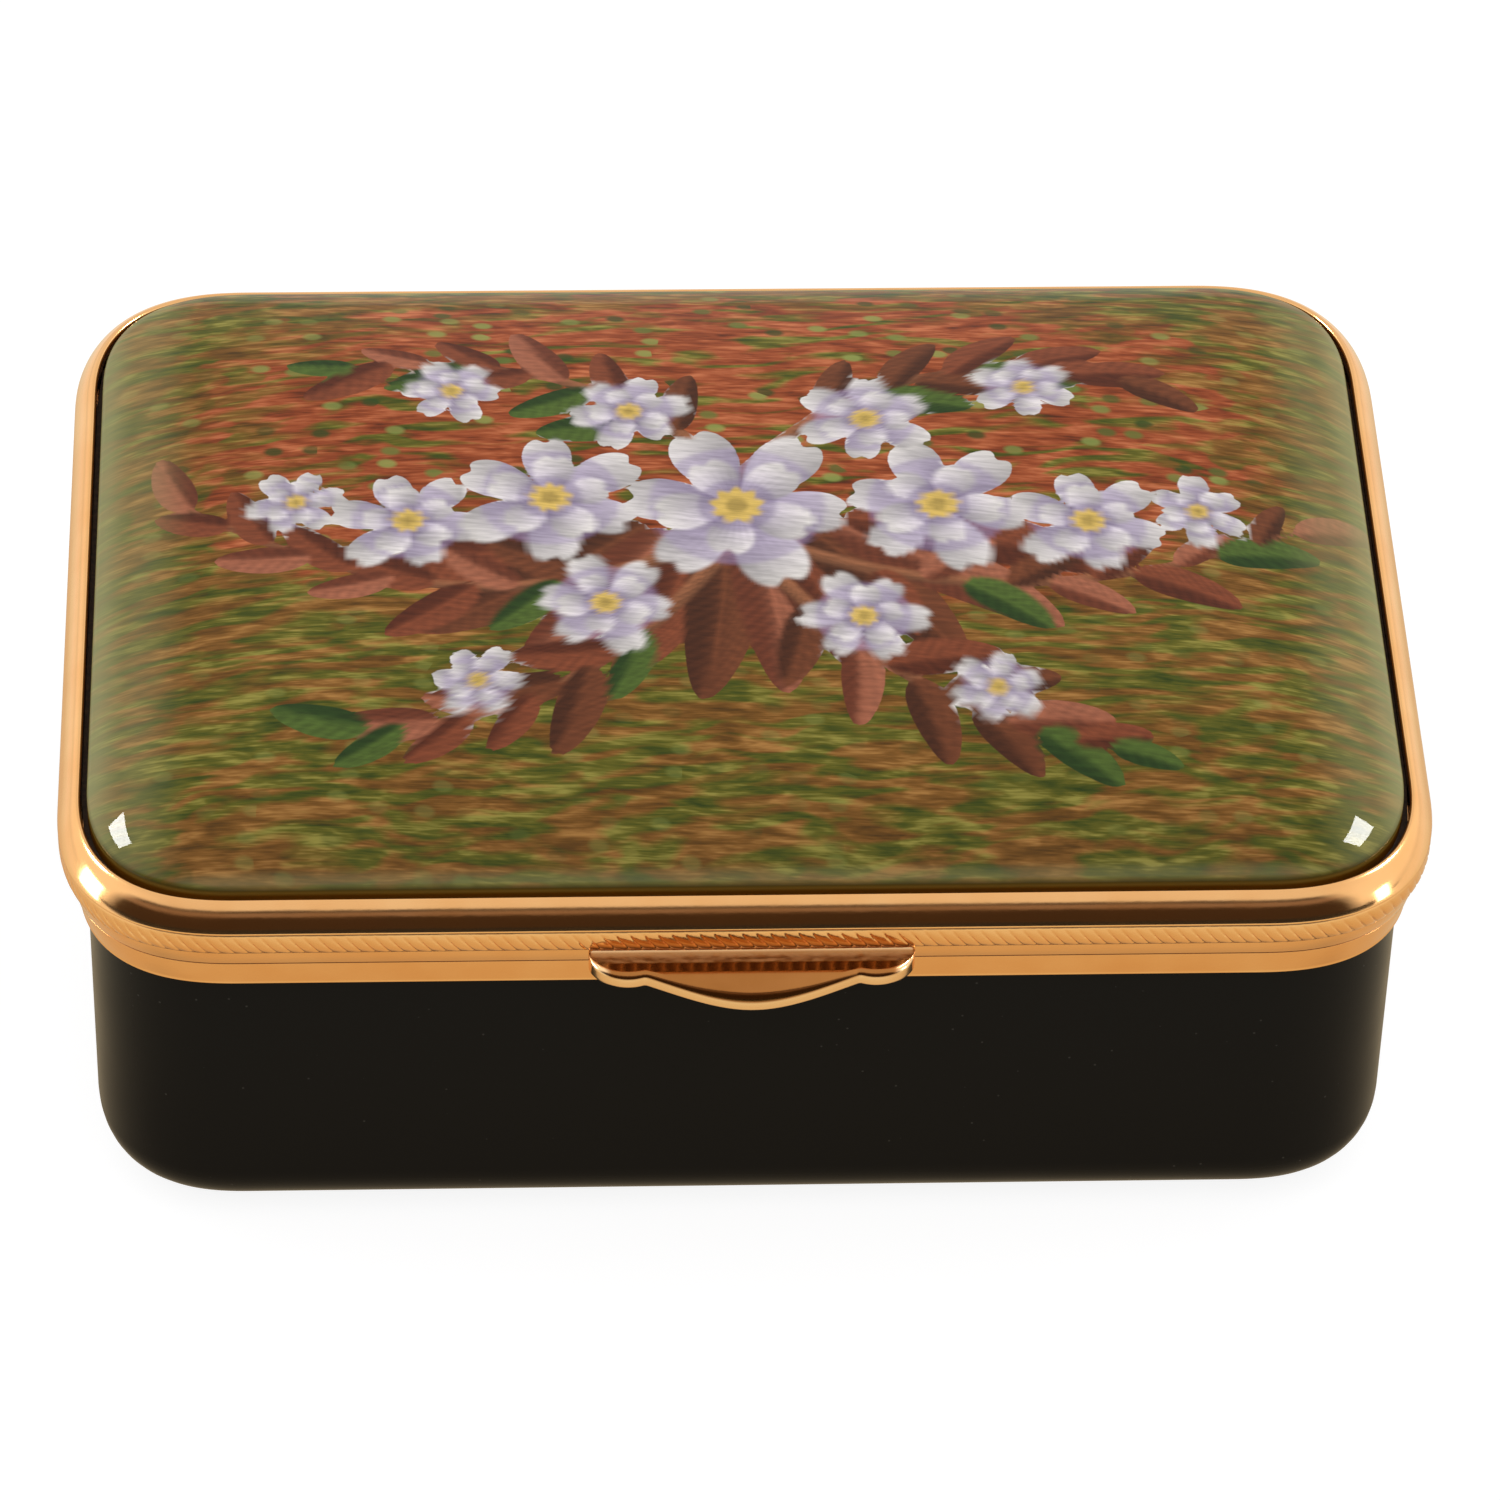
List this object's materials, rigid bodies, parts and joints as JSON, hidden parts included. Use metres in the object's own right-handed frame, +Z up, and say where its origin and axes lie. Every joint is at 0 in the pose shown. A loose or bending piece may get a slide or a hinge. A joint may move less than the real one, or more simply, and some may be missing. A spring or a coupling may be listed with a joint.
{
  "type": "bonbonniere",
  "caption": "Hinged rectangular sweet box with rounded corners: black enamel body, domed painted enamel lid, gilt mounts with a milled rope band, and a shaped thumb-piece.",
  "frame": {"origin": "on the table, at the middle of the flat underside of the body", "axes": "+Z up, +X along the long side to the right seen from the front, +Y towards the hinge"},
  "size_m": [0.09, 0.0695, 0.0355],
  "materials": {
    "black_enamel": "smooth black fired enamel, low gloss",
    "painted_enamel": "painted enamel under a glossy clear flux",
    "cream_enamel": "glossy cream counter-enamel",
    "copper": "drawn copper, dull where it is bare",
    "gilt_metal": "polished gilding on brass",
    "cement": "dark, dull setting cement"
  },
  "bodies": {
    "body": {"body_black_enamel": "black_enamel", "body_copper": "copper", "body_lining_enamel": "cream_enamel", "body_rim_cement": "cement", "body_rim": "gilt_metal", "body_lip": "gilt_metal", "snap_pip_left": "gilt_metal", "snap_pip_right": "gilt_metal", "body_hinge_leaf": "gilt_metal", "body_knuckle_1": "gilt_metal", "body_knuckle_2": "gilt_metal", "body_knuckle_3": "gilt_metal", "hinge_pin": "gilt_metal"},
    "lid": {"lid_painted_enamel": "painted_enamel", "lid_copper": "copper", "lid_lining_enamel": "cream_enamel", "lid_retaining_ring": "gilt_metal", "lid_cap_cement": "cement", "lid_plain_strip": "gilt_metal", "lid_rope_band": "gilt_metal", "lid_moulding": "gilt_metal", "thumb_piece": "gilt_metal", "lid_hinge_leaf": "gilt_metal", "lid_knuckle_1": "gilt_metal", "lid_knuckle_2": "gilt_metal"}
  },
  "joints": [
    {"name": "lid_hinge", "type": "hinge", "parent": "body", "child": "lid", "pos_m": [0, 0.03325, 0.02515], "axis": [-1, 0, 0], "range_deg": [0, 100]}
  ]
}
